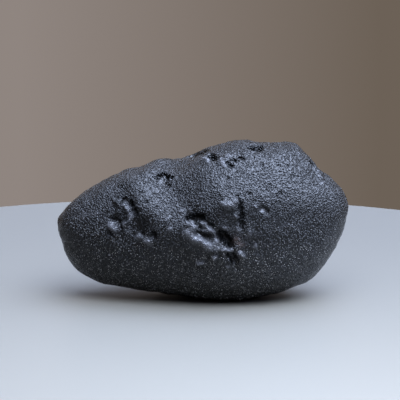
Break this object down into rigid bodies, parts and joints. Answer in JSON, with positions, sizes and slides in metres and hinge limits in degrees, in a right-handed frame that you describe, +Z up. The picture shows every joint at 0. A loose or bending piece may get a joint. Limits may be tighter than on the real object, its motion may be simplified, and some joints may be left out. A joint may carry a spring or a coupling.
{
  "type": "indochinite tektite",
  "caption": "Elongated splash-form tektite of black natural glass with an etched, pitted skin, a humped end, a blunt end and a grooved hollow between them",
  "frame": {"origin": "middle of the stone's box in X and Y, at the height of the surface that the stone rests on", "axes": "+X along the long axis towards the high humped end, +Z up, -Y out of the face that carries the grooved hollow"},
  "size_m": [0.0648, 0.0358, 0.035],
  "materials": {
    "etched_black_glass": "near-black natural glass, opaque, etched to a fine satin grain with small pits"
  },
  "bodies": {
    "root": {"tektite_stone": "etched_black_glass"}
  },
  "joints": []
}
